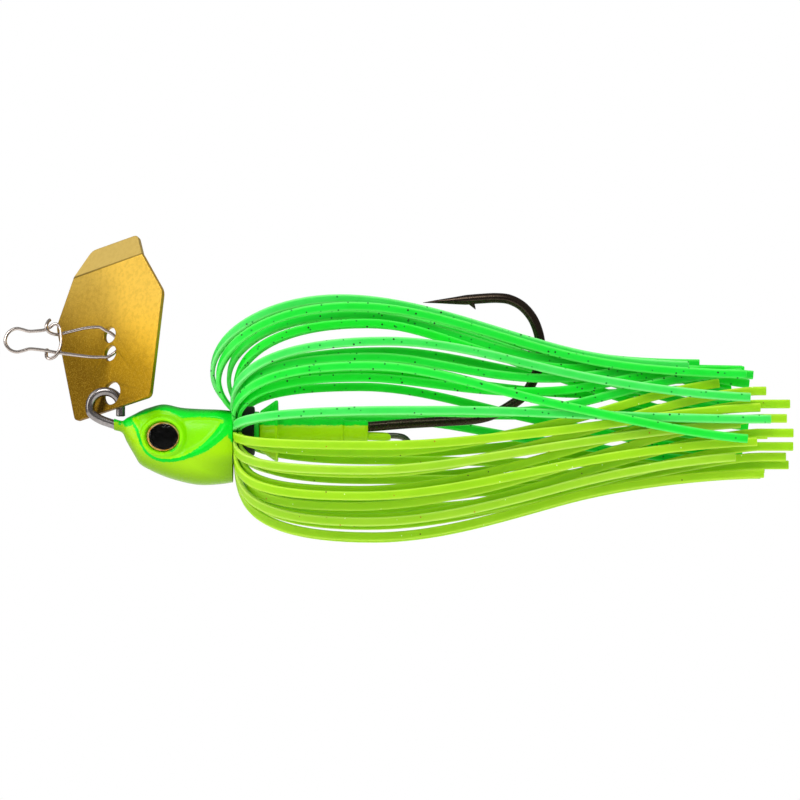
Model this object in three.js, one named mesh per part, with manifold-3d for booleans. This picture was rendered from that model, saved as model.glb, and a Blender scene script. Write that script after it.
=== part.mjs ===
// Bladed jig: a painted lead head cast on an upturned hook, a flat blade that swings on an open
// wire eye at the nose, a one-piece spring-wire line snap and a folded silicone skirt.
// Millimetres. +X runs from the line tie to the tail, +Z is up, Y = 0 is the head's mid-plane.
// The origin is the bearing point of the fishing line in the nose of the snap.
import * as THREE from 'three';
import { mergeVertices } from 'three/addons/utils/BufferGeometryUtils.js';
import Module from 'manifold-3d';

const { Vector3, Quaternion } = THREE;
const RAD = Math.PI / 180;
const vec = (x, y, z) => new Vector3(x, y, z);

// ---- driving dimensions ---------------------------------------------------------------------
// collar, trailer keeper, band and skirt share one level line along X
const AXIS_Z = -13.5;
const HEAD_REAR_X = 34.0;
const COLLAR_R = 2.2;
const FLANGE = { x0: 38.0, r0: 3.0, x1: 40.7, r1: 4.6 };
const BARREL = { r: 1.9, x1: 50.6 };
const TAIL_BARREL = { r: 1.6, x1: 54.2 };
const ROOT_SLEEVE = { x0: 34.05, x1: 37.9, rIn: 2.22, rOut: 2.92 };
const BAND = { x0: 35.4, x1: 37.2, rIn: 2.94, rOut: 3.7 };

// open wire eye at the nose
const EYE_WIRE_R = 0.68;
const EYE_LOOP = { x: 14.778, z: -9.88, r: 2.3 };
const EYE_CROSSING = 60;                // degrees round the loop where the blade hangs

// blade
const BLADE_T = 0.7;
const BLADE = { bottomW: 15.4, shoulderW: 21.9, shoulderH: 15.9, foldW: 14.2, foldH: 22.8 };
const LIP = { length: 4.5, topW: 9.4, bend: 23 };
const HANG_HOLE = { r: 1.75, h: 2.5 };
const SNAP_HOLE = { r: 1.2, low: 8.87, high: 11.77 };
const BLADE_AXIS_TILT = 17.8;           // swing axis leans this far forward of upright
const BLADE_LEAN = 6.15;                // blade leans back this far when it faces straight ahead
const BLADE_REST = 53.0;                // swing from straight ahead to the built pose

const SNAP_WIRE_R = 0.25;
const HOOK_R = 0.75;
const KEEPER_WIRE_R = 0.45;

// eyes
const EYE = { x: 23.6, z: -14.2, depth: 3.45, yaw: 13, foilR: 2.35, foilT: 0.14, domeH: 0.95 };
const SOCKET_R = 2.5;

// skirt shells: half height, half width and centre above AXIS_Z at three stations along X
const WAIST_X = 83;
const TAIL_X = 112;
const SHELLS = {
  outer: { rootX: 34.32, bulge: [18.65, 12], waist: [12.15, 9], tail: [9.4, 8] },
  inner: { rootX: 35.06, bulge: [16.3, 10], waist: [10.4, 7], tail: [7.4, 5.9] },
};
const SHELL_CENTRE = [2.15, 1.35, 1.65];
const ROOT_R = 3.24;
const STRAND = { rootW: 0.84, width: 1.32, rootT: 0.56, thickness: 0.74 };
// one row per strand, top to bottom: degrees round the shell at the bulge, the waist and the tail,
// bulge station, forward reach, rise at the root, tail end station, then how far the strand lies
// outside its shell behind the waist where it crosses its neighbours
const OUTER_NEAR = [
  [19, 27, 33, 50, 9.0, 6.5, 102.0],
  [28, 33, 44, 52, 7.0, 6.5, 110.5],
  [53, 52, 69, 57, 1.6, 5.5, 111.0],
  [66, 79, 106, 54, 0.8, 5.0, 110.5, 1.0],
  [87, 84, 89, 60, 0.2, 4.0, 114.0],
  [103, 96, 77, 56, 0.0, 4.0, 112.5, -1.0],
  [115, 108, 93, 54, 0.0, 5.0, 109.5, -1.0],
  [129, 124, 111, 53, 0.0, 6.2, 112.0, -0.5],
  [147, 143, 124, 54, 0.0, 6.7, 108.8],
  [164, 163, 148, 55, 0.0, 7.0, 113.2],
];
const OUTER_FAR = [
  [19, 27, 27, 50, 9.0, 6.5, 104.0],
  [28, 33, 37, 52, 7.0, 6.5, 110.5],
  [58, 57, 47, 57, 1.6, 5.5, 111.0],
  [70, 69, 58, 54, 0.8, 5.0, 109.0],
  [89, 85, 74, 60, 0.2, 4.0, 111.5],
  [108, 103, 89, 56, 0.0, 4.0, 112.0],
  [120, 118, 104, 54, 0.0, 5.0, 114.5],
  [134, 133, 120, 53, 0.0, 6.2, 108.0],
  [152, 151, 135, 54, 0.0, 6.7, 113.0],
  [169, 170, 151, 55, 0.0, 7.0, 113.2],
];
// the inner strands wind slowly towards the far side as they run back
const INNER_NEAR = [
  [21, 28, -63, 52, 5.0, 6.5, 108.5],
  [31, 39, -43, 54, 2.5, 6.0, 111.5],
  [57, 51, -24, 55, 0.8, 5.5, 112.0],
  [69, 63, -4, 53, 0.4, 4.5, 110.5],
  [87, 77, 16, 58, 0.0, 4.0, 110.0],
  [109, 90, 36, 55, 0.0, 4.0, 106.5],
  [121, 103, 54, 54, 0.0, 4.5, 113.5],
  [132, 116, 71, 53, 0.0, 5.5, 117.0],
  [145, 130, 88, 52, 0.0, 6.0, 116.5],
  [158, 145, 105, 54, 0.0, 6.5, 117.5],
];
const INNER_FAR = [
  [21, 36, 81, 52, 5.0, 6.5, 108.5],
  [31, 50, 98, 54, 2.5, 6.0, 111.5],
  [62, 76, 116, 55, 0.8, 5.5, 112.0],
  [74, 92, 134, 53, 0.4, 4.5, 110.5],
  [92, 108, 152, 58, 0.0, 4.0, 110.0],
  [114, 126, 170, 55, 0.0, 4.0, 106.5],
  [126, 140, 188, 54, 0.0, 4.5, 113.5],
  [137, 154, 205, 53, 0.0, 5.5, 117.0],
  [150, 168, 222, 52, 0.0, 6.0, 116.5],
  [163, 183, 238, 54, 0.0, 6.5, 117.5],
];

// ---- geometry helpers -----------------------------------------------------------------------
const wasm = await Module();
wasm.setup();
const { Manifold, Mesh } = wasm;

// closed skin through rings of equal point count, capped at both ends, facing outward
function skin(rings) {
  const n = rings[0].length;
  const points = rings.flat();
  const index = [];
  for (let i = 0; i + 1 < rings.length; i += 1) {
    for (let j = 0; j < n; j += 1) {
      const a = i * n + j;
      const b = i * n + ((j + 1) % n);
      index.push(a, b, b + n, a, b + n, a + n);
    }
  }
  const last = (rings.length - 1) * n;
  for (let j = 1; j + 1 < n; j += 1) {
    index.push(0, j + 1, j, last, last + j, last + j + 1);
  }
  let volume = 0;
  const cross = new Vector3();
  for (let k = 0; k < index.length; k += 3) {
    cross.crossVectors(points[index[k + 1]], points[index[k + 2]]);
    volume += points[index[k]].dot(cross);
  }
  if (volume < 0) index.reverse();
  const geometry = new THREE.BufferGeometry();
  geometry.setAttribute('position', new THREE.Float32BufferAttribute(
    points.flatMap((p) => [p.x, p.y, p.z]), 3));
  geometry.setIndex(index);
  return geometry;
}

// round wire along a smooth curve through the given points; radius may vary along it
function wire(points, radius, samples, sides) {
  const curve = new THREE.CatmullRomCurve3(points, false, 'centripetal');
  const frames = curve.computeFrenetFrames(samples, false);
  const rings = [];
  for (let i = 0; i <= samples; i += 1) {
    const centre = curve.getPointAt(i / samples);
    const r = typeof radius === 'function' ? radius(centre, i / samples) : radius;
    rings.push(Array.from({ length: sides }, (_, j) => {
      const a = (2 * Math.PI * (j + 0.5)) / sides;
      return centre.clone()
        .addScaledVector(frames.normals[i], r * Math.cos(a))
        .addScaledVector(frames.binormals[i], r * Math.sin(a));
    }));
  }
  return skin(rings);
}

function solid(geometry) {
  const bare = geometry.clone();
  bare.deleteAttribute('normal');
  bare.deleteAttribute('uv');
  const merged = mergeVertices(bare, 1e-5);
  return new Manifold(new Mesh({
    numProp: 3,
    vertProperties: new Float32Array(merged.attributes.position.array),
    triVerts: new Uint32Array(merged.index.array),
  }));
}

function geometryOf(body) {
  const mesh = body.getMesh();
  const geometry = new THREE.BufferGeometry();
  geometry.setAttribute('position', new THREE.Float32BufferAttribute(mesh.vertProperties, 3));
  geometry.setIndex(Array.from(mesh.triVerts));
  return geometry;
}

const join = (...parts) => geometryOf(parts.map(solid).reduce((a, b) => a.add(b)));
const cut = (base, ...tools) => geometryOf(
  tools.map(solid).reduce((a, b) => a.subtract(b), solid(base)));

// body of revolution about the level line at AXIS_Z; profile points are [x, r]
function turned(profile, sides) {
  const geometry = new THREE.LatheGeometry(
    profile.map(([x, r]) => new THREE.Vector2(r, x)), sides);
  geometry.applyMatrix4(new THREE.Matrix4().makeBasis(vec(0, 1, 0), vec(1, 0, 0), vec(0, 0, -1)));
  geometry.translate(0, 0, AXIS_Z);
  return outward(geometry);
}

function outward(geometry) {
  const merged = mergeVertices(stripped(geometry), 1e-5);
  const p = merged.attributes.position;
  const index = Array.from(merged.index.array);
  const [a, b, c] = [new Vector3(), new Vector3(), new Vector3()];
  let volume = 0;
  for (let k = 0; k < index.length; k += 3) {
    a.fromBufferAttribute(p, index[k]);
    b.fromBufferAttribute(p, index[k + 1]);
    c.fromBufferAttribute(p, index[k + 2]);
    volume += a.dot(b.cross(c));
  }
  if (volume < 0) index.reverse();
  merged.setIndex(index);
  return merged;
}

function stripped(geometry) {
  const bare = geometry.clone();
  bare.deleteAttribute('normal');
  bare.deleteAttribute('uv');
  return bare;
}

// smooth value at x from a table whose first column is x
function smoothAt(table, column, x) {
  const rows = table.length;
  let i = 0;
  while (i < rows - 2 && x > table[i + 1][0]) i += 1;
  const slope = (k) => {
    const lo = Math.max(k - 1, 0);
    const hi = Math.min(k + 1, rows - 1);
    return (table[hi][column] - table[lo][column]) / (table[hi][0] - table[lo][0]);
  };
  const span = table[i + 1][0] - table[i][0];
  return hermite(table[i][column], table[i + 1][column], slope(i) * span, slope(i + 1) * span,
    (x - table[i][0]) / span);
}

function hermite(a, b, ma, mb, u) {
  const u2 = u * u;
  const u3 = u2 * u;
  return (2 * u3 - 3 * u2 + 1) * a + (u3 - 2 * u2 + u) * ma + (3 * u2 - 2 * u3) * b + (u3 - u2) * mb;
}

// ---- head and keeper casting ------------------------------------------------------------------
// station x, top z, bottom z, half width
const HEAD = [
  [16.1, -11.65, -13.35, 0.86],
  [17.4, -11.95, -13.85, 0.95],
  [18.0, -11.55, -15.1, 1.5],
  [19.3, -10.9, -17.5, 2.5],
  [21.2, -10.05, -19.15, 3.4],
  [23.5, -9.5, -20.25, 4.15],
  [26.2, -10.0, -21.1, 4.6],
  [29.0, -10.2, -21.6, 4.7],
  [31.9, -10.3, -21.5, 4.5],
  [HEAD_REAR_X, -10.5, -21.2, 4.2],
];
const HEAD_STATIONS = [16.1, 16.8, 17.4, 17.7, 18.1, 18.7, 19.5, 20.6, 22, 23.5, 25.2, 27.2, 29.4, 31.8, 34];
const HEAD_SQUARENESS = 2.35;

function headRing(x, sides) {
  const top = smoothAt(HEAD, 1, x);
  const bottom = smoothAt(HEAD, 2, x);
  const half = smoothAt(HEAD, 3, x);
  const power = 2 / (x < 17.4 ? 2 : HEAD_SQUARENESS);
  return Array.from({ length: sides }, (_, j) => {
    const a = (2 * Math.PI * j) / sides;
    const c = Math.cos(a);
    const s = Math.sin(a);
    return vec(x, half * Math.sign(c) * Math.abs(c) ** power,
      (top + bottom) / 2 + ((top - bottom) / 2) * Math.sign(s) * Math.abs(s) ** power);
  });
}

const headShell = skin(HEAD_STATIONS.map((x) => headRing(x, 28)));
const keeperShell = turned([
  [33.0, 0], [33.0, COLLAR_R], [FLANGE.x0, COLLAR_R], [FLANGE.x0, FLANGE.r0],
  [FLANGE.x1 - 0.35, FLANGE.r1], [FLANGE.x1, FLANGE.r1], [FLANGE.x1, BARREL.r],
  [BARREL.x1 - 0.3, BARREL.r], [BARREL.x1, BARREL.r - 0.25], [BARREL.x1, TAIL_BARREL.r],
  [TAIL_BARREL.x1 - 0.3, TAIL_BARREL.r], [TAIL_BARREL.x1, TAIL_BARREL.r - 0.2],
  [TAIL_BARREL.x1, 0],
], 28);

// ---- hook: eye and shank cast into the head, point upward ---------------------------------------
const hookEye = [50, 90, 130, 170, 210, 250, 290, 322].map((a) => vec(
  26.5 + 1.8 * Math.cos(a * RAD), 0, -13.4 + 1.8 * Math.sin(a * RAD)));
const HOOK_PATH = [
  ...hookEye,
  vec(29.2, 0, -13.75), vec(31.5, 0, -13.35), vec(42, 0, -13.2), vec(50, 0, -13.0),
  vec(54.2, 0, -12.85), vec(60, 0, -12.4), vec(65, 0, -12.1), vec(71, 0, -11.6),
  vec(73.5, 0, -10.8), vec(75.5, 0, -9.7), vec(77.6, 0, -8.1), vec(79.2, 0, -5.4),
  vec(80.0, 0, -2.85), vec(80.05, 0, -0.6), vec(79.7, 0, 1.35), vec(78.8, 0, 3.5),
  vec(77.2, 0, 5.3), vec(75.3, 0, 6.25), vec(73.5, 0, 6.45), vec(71.1, 0, 6.35),
  vec(68.7, 0, 6.15), vec(66.3, 0, 6.0), vec(64.4, 0, 5.9), vec(62.4, 0, 5.75),
];
const POINT_LENGTH = 6.5;
const hookWire = wire(HOOK_PATH, (p, s) => {
  if (s < 0.7) return HOOK_R;
  return HOOK_R * Math.min(1, 0.12 + (0.88 * (p.x - 62.4)) / POINT_LENGTH);
}, 92, 10);
const barb = skin([
  [vec(68.9, -0.3, 5.9), vec(68.9, 0.3, 5.9), vec(69.9, 0.3, 5.9), vec(69.9, -0.3, 5.9)],
  [vec(70.1, -0.08, 4.75), vec(70.1, 0.08, 4.75), vec(70.25, 0.08, 4.75), vec(70.25, -0.08, 4.75)],
]);
const hookGeometry = join(hookWire, barb);

// ---- wires cast into the ends of the casting -----------------------------------------------------
const loopPoint = (a) => vec(
  EYE_LOOP.x + EYE_LOOP.r * Math.cos(a * RAD), 0, EYE_LOOP.z + EYE_LOOP.r * Math.sin(a * RAD));
const loopAngles = [204, 186, 168, 150, 132, 114, 96, 78, EYE_CROSSING, 40, 20, 0];
const hangerGeometry = wire([
  vec(22.8, 0, -15.9), vec(21.9, 0, -14.9), vec(19.6, 0, -13.7), vec(17.4, 0, -12.95),
  vec(15.9, 0, -12.45), vec(13.9, 0, -11.7),
  ...loopAngles.map(loopPoint),
  vec(EYE_LOOP.x + EYE_LOOP.r, 0, -10.5), vec(EYE_LOOP.x + EYE_LOOP.r, 0, -11.35),
], EYE_WIRE_R, 52, 8);

const trailerWireGeometry = wire([
  vec(46, 0, -14.75), vec(50, 0, -14.5), vec(54.2, 0, -14.25), vec(56.5, 0, -14.2),
  vec(58.6, 0, -14.25), vec(59.6, 0, -14.5), vec(60.2, 0, -15.1), vec(60.4, 0, -15.95),
], KEEPER_WIRE_R, 24, 8);

// ---- eyes: flat socket, foil disc and clear dome on each cheek -----------------------------------
function eyeFrame(side) {
  const out = vec(-Math.sin(EYE.yaw * RAD), side * Math.cos(EYE.yaw * RAD), 0);
  const along = vec(0, 0, 1).cross(out).normalize();
  const seat = vec(EYE.x, side * EYE.depth, EYE.z);
  return new THREE.Matrix4().makeBasis(along, out, vec(0, 0, 1).multiplyScalar(-1)).setPosition(seat);
}

function eyeTurned(side, profile, sides) {
  const geometry = new THREE.LatheGeometry(profile.map(([r, h]) => new THREE.Vector2(r, h)), sides);
  geometry.applyMatrix4(eyeFrame(side));
  return outward(geometry);
}

const SOCKET = [[0, 0], [SOCKET_R, 0], [SOCKET_R + 0.4, 3], [0, 3]];
const FOIL = [[0, 0], [EYE.foilR, 0], [EYE.foilR, EYE.foilT], [0, EYE.foilT]];
const DOME = [
  [0, EYE.foilT], [EYE.foilR, EYE.foilT], [EYE.foilR, EYE.foilT + 0.2],
  ...[0.86, 0.68, 0.46, 0.22].map((k) => [
    EYE.foilR * k, EYE.foilT + 0.2 + (EYE.domeH - 0.2) * Math.sqrt(1 - k * k)]),
  [0, EYE.foilT + EYE.domeH],
];

const headGeometry = cut(
  join(headShell, keeperShell),
  hookGeometry, hangerGeometry, trailerWireGeometry,
  eyeTurned(1, SOCKET, 28), eyeTurned(-1, SOCKET, 28));

// ---- blade ---------------------------------------------------------------------------------------
const swingAxis = vec(-Math.sin(BLADE_AXIS_TILT * RAD), 0, Math.cos(BLADE_AXIS_TILT * RAD));
const swing = new Quaternion().setFromAxisAngle(swingAxis, BLADE_REST * RAD);
const bladeAcross = vec(0, -1, 0).applyQuaternion(swing);
const bladeUp = vec(Math.sin(BLADE_LEAN * RAD), 0, Math.cos(BLADE_LEAN * RAD)).applyQuaternion(swing);
const bladeFront = bladeAcross.clone().cross(bladeUp);
const bladeHang = loopPoint(EYE_CROSSING);
const bladeFrame = new THREE.Matrix4().makeBasis(bladeAcross, bladeUp, bladeFront)
  .setPosition(bladeHang.clone().addScaledVector(bladeUp, -HANG_HOLE.h));
const onBlade = (x, y, z) => vec(x, y, z).applyMatrix4(bladeFrame);

// flat plate from an outline with rounded corners; corners are [x, y, radius]
function plate(corners, holes) {
  const shape = new THREE.Shape();
  corners.forEach(([x, y, r], i) => {
    const before = corners[(i + corners.length - 1) % corners.length];
    const after = corners[(i + 1) % corners.length];
    const here = new THREE.Vector2(x, y);
    const from = new THREE.Vector2(before[0], before[1]).sub(here).setLength(r).add(here);
    const to = new THREE.Vector2(after[0], after[1]).sub(here).setLength(r).add(here);
    if (i === 0) shape.moveTo(from.x, from.y);
    else shape.lineTo(from.x, from.y);
    if (r > 0) shape.quadraticCurveTo(x, y, to.x, to.y);
  });
  shape.closePath();
  for (const [x, y, r] of holes) {
    const hole = new THREE.Path();
    hole.absarc(x, y, r, 0, 2 * Math.PI, true);
    shape.holes.push(hole);
  }
  const geometry = new THREE.ExtrudeGeometry(shape, {
    depth: BLADE_T, bevelEnabled: false, curveSegments: 10 });
  geometry.translate(0, 0, -BLADE_T / 2);
  return geometry;
}

const bladePlate = plate([
  [-BLADE.bottomW / 2, 0, 0.8], [BLADE.bottomW / 2, 0, 0.8],
  [BLADE.shoulderW / 2, BLADE.shoulderH, 0.8], [BLADE.foldW / 2, BLADE.foldH, 0.05],
  [-BLADE.foldW / 2, BLADE.foldH, 0.05], [-BLADE.shoulderW / 2, BLADE.shoulderH, 0.8],
], [[0, HANG_HOLE.h, HANG_HOLE.r], [0, SNAP_HOLE.low, SNAP_HOLE.r], [0, SNAP_HOLE.high, SNAP_HOLE.r]]);
const lip = plate([
  [-BLADE.foldW / 2, -0.1, 0.05], [BLADE.foldW / 2, -0.1, 0.05],
  [LIP.topW / 2, LIP.length, 0.9], [-LIP.topW / 2, LIP.length, 0.9],
], []);
lip.rotateX(-LIP.bend * RAD);
lip.translate(0, BLADE.foldH, 0);
const bend = new THREE.CylinderGeometry(BLADE_T / 2, BLADE_T / 2, BLADE.foldW - 0.3, 12);
bend.rotateZ(Math.PI / 2);
bend.translate(0, BLADE.foldH, 0);
const bladeGeometry = join(bladePlate, lip, bend).applyMatrix4(bladeFrame);

// ---- line snap: one wire, sprung shut by two hooked ends -------------------------------------------
const lowHole = onBlade(0, SNAP_HOLE.low, 0);
const highHole = onBlade(0, SNAP_HOLE.high, 0);
const holeMid = lowHole.clone().add(highHole).multiplyScalar(0.5);
const snapAlong = holeMid.clone().projectOnPlane(bladeUp).normalize();
const snapOut = snapAlong.clone().cross(bladeUp);
const onSnap = (p, q, s) => vec(0, 0, 0)
  .addScaledVector(snapAlong, p).addScaledVector(bladeUp, q).addScaledVector(snapOut, s);
const D = holeMid.dot(snapAlong);
const Q = holeMid.dot(bladeUp);
const HALF_PITCH = (SNAP_HOLE.high - SNAP_HOLE.low) / 2;
const SNAP_PATH = [
  // lower hook end, wrapped under the lower arm
  [6.15, -0.95, -0.5], [5.98, -1.6, -0.62], [6.0, -2.3, -0.5], [6.4, -2.72, -0.1], [7.1, -2.55, 0.35],
  [7.75, -1.7, 0.66],
  // cross wire of the gate
  [8.1, -0.5, 0.66], [8.11, 0.82, 0.6], [7.98, 2.1, 0.4], [7.6, 2.66, 0.2], [7.1, 2.7, 0.05],
  // upper nose arm, nose and lower arm
  [6.58, 2.3, 0], [5.75, 1.85, 0], [4.42, 1.64, 0], [3.31, 1.6, 0], [2.4, 1.85, 0], [1.57, 2.0, 0],
  [0.7, 1.68, 0], [0.0, 0.92, 0], [-SNAP_WIRE_R, -0.05, 0], [0.0, -0.86, 0], [0.6, -1.48, 0],
  [1.43, -1.73, 0], [2.32, -1.55, 0], [3.34, -1.24, 0], [4.6, -1.3, 0], [5.83, -1.46, 0],
  [7.45, -1.77, 0], [8.36, -1.86, 0], [11.5, -2.27, 0], [13.2, -2.43, 0], [14.3, -2.4, 0],
  // through both blade holes, round the far side of the web between them
  [D - 0.75, Q - HALF_PITCH - 0.58, 0], [D, Q - HALF_PITCH - 0.22, 0],
  [D + 0.62, Q - HALF_PITCH + 0.25, 0], [D + 1.12, Q - 0.62, 0], [D + 1.3, Q, 0],
  [D + 1.12, Q + 0.62, 0], [D + 0.62, Q + HALF_PITCH - 0.2, 0],
  [D, Q + HALF_PITCH + 0.35, 0], [D - 0.75, Q + HALF_PITCH + 0.75, 0],
  // upper back arm and upper hook end
  [14.2, 2.33, 0], [13.3, 2.36, 0], [11.65, 2.14, -0.04], [9.76, 1.67, -0.1],
  [8.47, 1.34, -0.14], [7.7, 1.12, 0.0], [6.94, 1.1, 0.3], [6.24, 1.36, 0.62], [5.93, 2.05, 0.74],
  [6.2, 2.9, 0.6], [6.6, 3.35, 0.45],
];
const snapGeometry = wire(SNAP_PATH.map(([p, q, s]) => onSnap(p, q, s)), SNAP_WIRE_R, 150, 6);

// ---- skirt ---------------------------------------------------------------------------------------
const sleeveGeometry = turned([
  [ROOT_SLEEVE.x0, ROOT_SLEEVE.rIn], [ROOT_SLEEVE.x0, ROOT_SLEEVE.rOut],
  [ROOT_SLEEVE.x1, ROOT_SLEEVE.rOut], [ROOT_SLEEVE.x1, ROOT_SLEEVE.rIn],
  [ROOT_SLEEVE.x0, ROOT_SLEEVE.rIn],
], 28);
const bandGeometry = turned([
  [BAND.x0, BAND.rIn], [BAND.x0, BAND.rOut - 0.25], [BAND.x0 + 0.3, BAND.rOut],
  [BAND.x1 - 0.3, BAND.rOut], [BAND.x1, BAND.rOut - 0.25], [BAND.x1, BAND.rIn],
  [BAND.x0, BAND.rIn],
], 28);

// centreline of one strand; angles run from the top towards -Y on the near side
function strandPath(shell, row, rootAngle) {
  const [bulgeDeg, waistDeg, tailDeg, bulgeX, forward, rise, endX, layer = 0] = row;
  const [waist, tail] = [shell.waist, shell.tail].map((pair) => pair.map((half) => half + layer));
  const sign = Math.sign(rootAngle);
  const winding = (tailDeg - bulgeDeg) / (TAIL_X - bulgeX);
  const around = (angle, half, centre, x) => vec(
    x, -half[1] * Math.sin(angle * RAD), AXIS_Z + centre + half[0] * Math.cos(angle * RAD));
  const root = around(rootAngle, [ROOT_R, ROOT_R], 0, shell.rootX);
  const rootUp = vec(0, -Math.sin(rootAngle * RAD), Math.cos(rootAngle * RAD));
  const bulge = around(sign * bulgeDeg, shell.bulge, SHELL_CENTRE[0], bulgeX);
  const loop = new THREE.CubicBezierCurve3(root,
    root.clone().addScaledVector(rootUp, rise).add(vec(-forward, 0, 0)),
    bulge.clone().add(vec(-(bulgeX - shell.rootX) * 0.95, 0, 0)), bulge);
  const points = [0, 0.06, 0.14, 0.25, 0.39, 0.56, 0.77].map((t) => loop.getPoint(t));
  const steps = 9;
  for (let k = 0; k <= steps; k += 1) {
    const x = bulgeX + ((endX - bulgeX) * k) / steps;
    const first = x < WAIST_X;
    const x0 = first ? bulgeX : WAIST_X;
    const span = (first ? WAIST_X : TAIL_X) - x0;
    const u = Math.min((x - x0) / span, 1);
    const blend = (a, b, ma, mb) => hermite(a, b, ma * span, mb * span, u);
    const from = first ? shell.bulge : waist;
    const to = first ? waist : tail;
    const half = first
      ? [blend(from[0], to[0], 0, -0.27), blend(from[1], to[1], 0, -0.09)]
      : [blend(from[0], to[0], -0.27, -0.02), blend(from[1], to[1], -0.09, -0.02)];
    const centre = first ? blend(SHELL_CENTRE[0], SHELL_CENTRE[1], 0, 0)
      : blend(SHELL_CENTRE[1], SHELL_CENTRE[2], 0, 0);
    const angle = first ? blend(bulgeDeg, waistDeg, 0, winding)
      : blend(waistDeg, tailDeg, winding, winding * 0.6);
    points.push(around(sign * angle, half, centre, x));
  }
  return points;
}

// the wide face lies round the collar at the root and turns upright along the loop
function strandGeometry(shell, row, rootAngle) {
  const points = strandPath(shell, row, rootAngle);
  const roundCollar = vec(0, -Math.cos(rootAngle * RAD), -Math.sin(rootAngle * RAD));
  const upright = vec(0, 0, -Math.sign(rootAngle));
  const rings = points.map((p, i) => {
    const tangent = points[Math.min(i + 1, points.length - 1)].clone()
      .sub(points[Math.max(i - 1, 0)]).normalize();
    const across = roundCollar.clone().lerp(upright, THREE.MathUtils.smoothstep(i, 1, 7))
      .projectOnPlane(tangent).normalize();
    const out = tangent.clone().cross(across);
    const w = Math.min(STRAND.width, STRAND.rootW + 0.16 * i) / 2;
    const t = Math.min(STRAND.thickness, STRAND.rootT + 0.05 * Math.max(i - 3, 0)) / 2;
    return [[-w, -t], [w, -t], [w, t], [-w, t]].map(([a, b]) => p.clone()
      .addScaledVector(across, a).addScaledVector(out, b));
  });
  return skin(rings);
}

// ---- assembly --------------------------------------------------------------------------------------
const COLOURS = {
  chartreuse: 0xa8dc10, green: 0x1fd03c, black: 0x161616, gold: 0xc39a3a, steel: 0xb9bcc0,
  nickel: 0x2a2624, clear: 0xdfeaf0, foil: 0xd89a2a, sleeve: 0x59c52a,
};

const group = new THREE.Group();
group.name = 'bladed_jig';

function add(name, geometry, colour, metal, rough) {
  const bare = stripped(geometry);
  bare.computeVertexNormals();
  const mesh = new THREE.Mesh(bare, new THREE.MeshStandardMaterial({
    color: colour, metalness: metal, roughness: rough, flatShading: true }));
  mesh.name = name;
  group.add(mesh);
}

add('lead_head', headGeometry, COLOURS.chartreuse, 0, 0.35);
add('jig_hook', hookGeometry, COLOURS.nickel, 0.9, 0.3);
add('blade_hanger_wire', hangerGeometry, COLOURS.steel, 0.9, 0.3);
add('trailer_keeper_wire', trailerWireGeometry, COLOURS.steel, 0.9, 0.3);
for (const [label, side] of [['left', -1], ['right', 1]]) {
  add(`eye_foil_${label}`, eyeTurned(side, FOIL, 24), COLOURS.foil, 0.6, 0.3);
  add(`eye_dome_${label}`, eyeTurned(side, DOME, 24), COLOURS.clear, 0, 0.1);
}
add('skirt_root', sleeveGeometry, COLOURS.sleeve, 0, 0.5);
add('skirt_band', bandGeometry, COLOURS.black, 0, 0.6);
add('blade', bladeGeometry, COLOURS.gold, 0.9, 0.35);
add('line_snap', snapGeometry, COLOURS.steel, 0.9, 0.25);

let number = 0;
for (const [shell, sign, rows] of [
  [SHELLS.outer, 1, OUTER_NEAR], [SHELLS.outer, -1, OUTER_FAR],
  [SHELLS.inner, 1, INNER_NEAR], [SHELLS.inner, -1, INNER_FAR],
]) {
  rows.forEach((row, i) => {
    number += 1;
    const rootAngle = sign * (9 + 18 * i);
    add(`skirt_strand_${String(number).padStart(2, '0')}`, strandGeometry(shell, row, rootAngle),
      Math.abs(rootAngle) < 90 ? COLOURS.green : COLOURS.chartreuse, 0, 0.4);
  });
}

export default group;
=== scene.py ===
"""Bladed jig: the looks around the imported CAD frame. Lengths below are millimetres unless said."""
import math

import bmesh
import bpy
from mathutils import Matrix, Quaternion, Vector


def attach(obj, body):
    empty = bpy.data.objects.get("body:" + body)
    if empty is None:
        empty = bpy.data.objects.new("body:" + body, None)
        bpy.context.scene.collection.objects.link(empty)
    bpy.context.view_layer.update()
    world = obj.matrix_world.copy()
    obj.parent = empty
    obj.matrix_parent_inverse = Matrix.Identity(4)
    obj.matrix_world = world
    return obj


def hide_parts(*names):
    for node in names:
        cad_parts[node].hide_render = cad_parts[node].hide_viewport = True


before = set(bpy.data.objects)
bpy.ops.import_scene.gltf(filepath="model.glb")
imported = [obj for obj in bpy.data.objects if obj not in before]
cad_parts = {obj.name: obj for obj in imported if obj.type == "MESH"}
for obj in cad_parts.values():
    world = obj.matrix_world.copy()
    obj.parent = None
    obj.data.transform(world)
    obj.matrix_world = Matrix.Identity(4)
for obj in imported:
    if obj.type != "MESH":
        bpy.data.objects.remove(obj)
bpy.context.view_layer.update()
MM = 0.001
RAD = math.pi / 180

# ---- dimensions shared with the CAD ----
AXIS_Z = -13.5
COLLAR_R = 2.2
FLANGE = {"x0": 38.0, "r0": 3.0, "x1": 40.7, "r1": 4.6}
BARREL = {"r": 1.9, "x1": 50.6}
TAIL_BARREL = {"r": 1.6, "x1": 54.2}
ROOT_SLEEVE = {"x0": 34.05, "x1": 37.9, "r_in": 2.22, "r_out": 2.92}
BAND = {"x0": 35.4, "x1": 37.2, "r_in": 2.94, "r_out": 3.7}
EYE_WIRE_R = 0.68
EYE_LOOP = {"x": 14.778, "z": -9.88, "r": 2.3}
EYE_CROSSING = 60
BLADE_T = 0.7
BLADE = {"bottom_w": 15.4, "shoulder_w": 21.9, "shoulder_h": 15.9, "fold_w": 14.2, "fold_h": 22.8}
LIP = {"length": 4.5, "top_w": 9.4, "bend": 23}
HANG_HOLE = {"r": 1.75, "h": 2.5}
SNAP_HOLE = {"r": 1.2, "low": 8.87, "high": 11.77}
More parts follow.
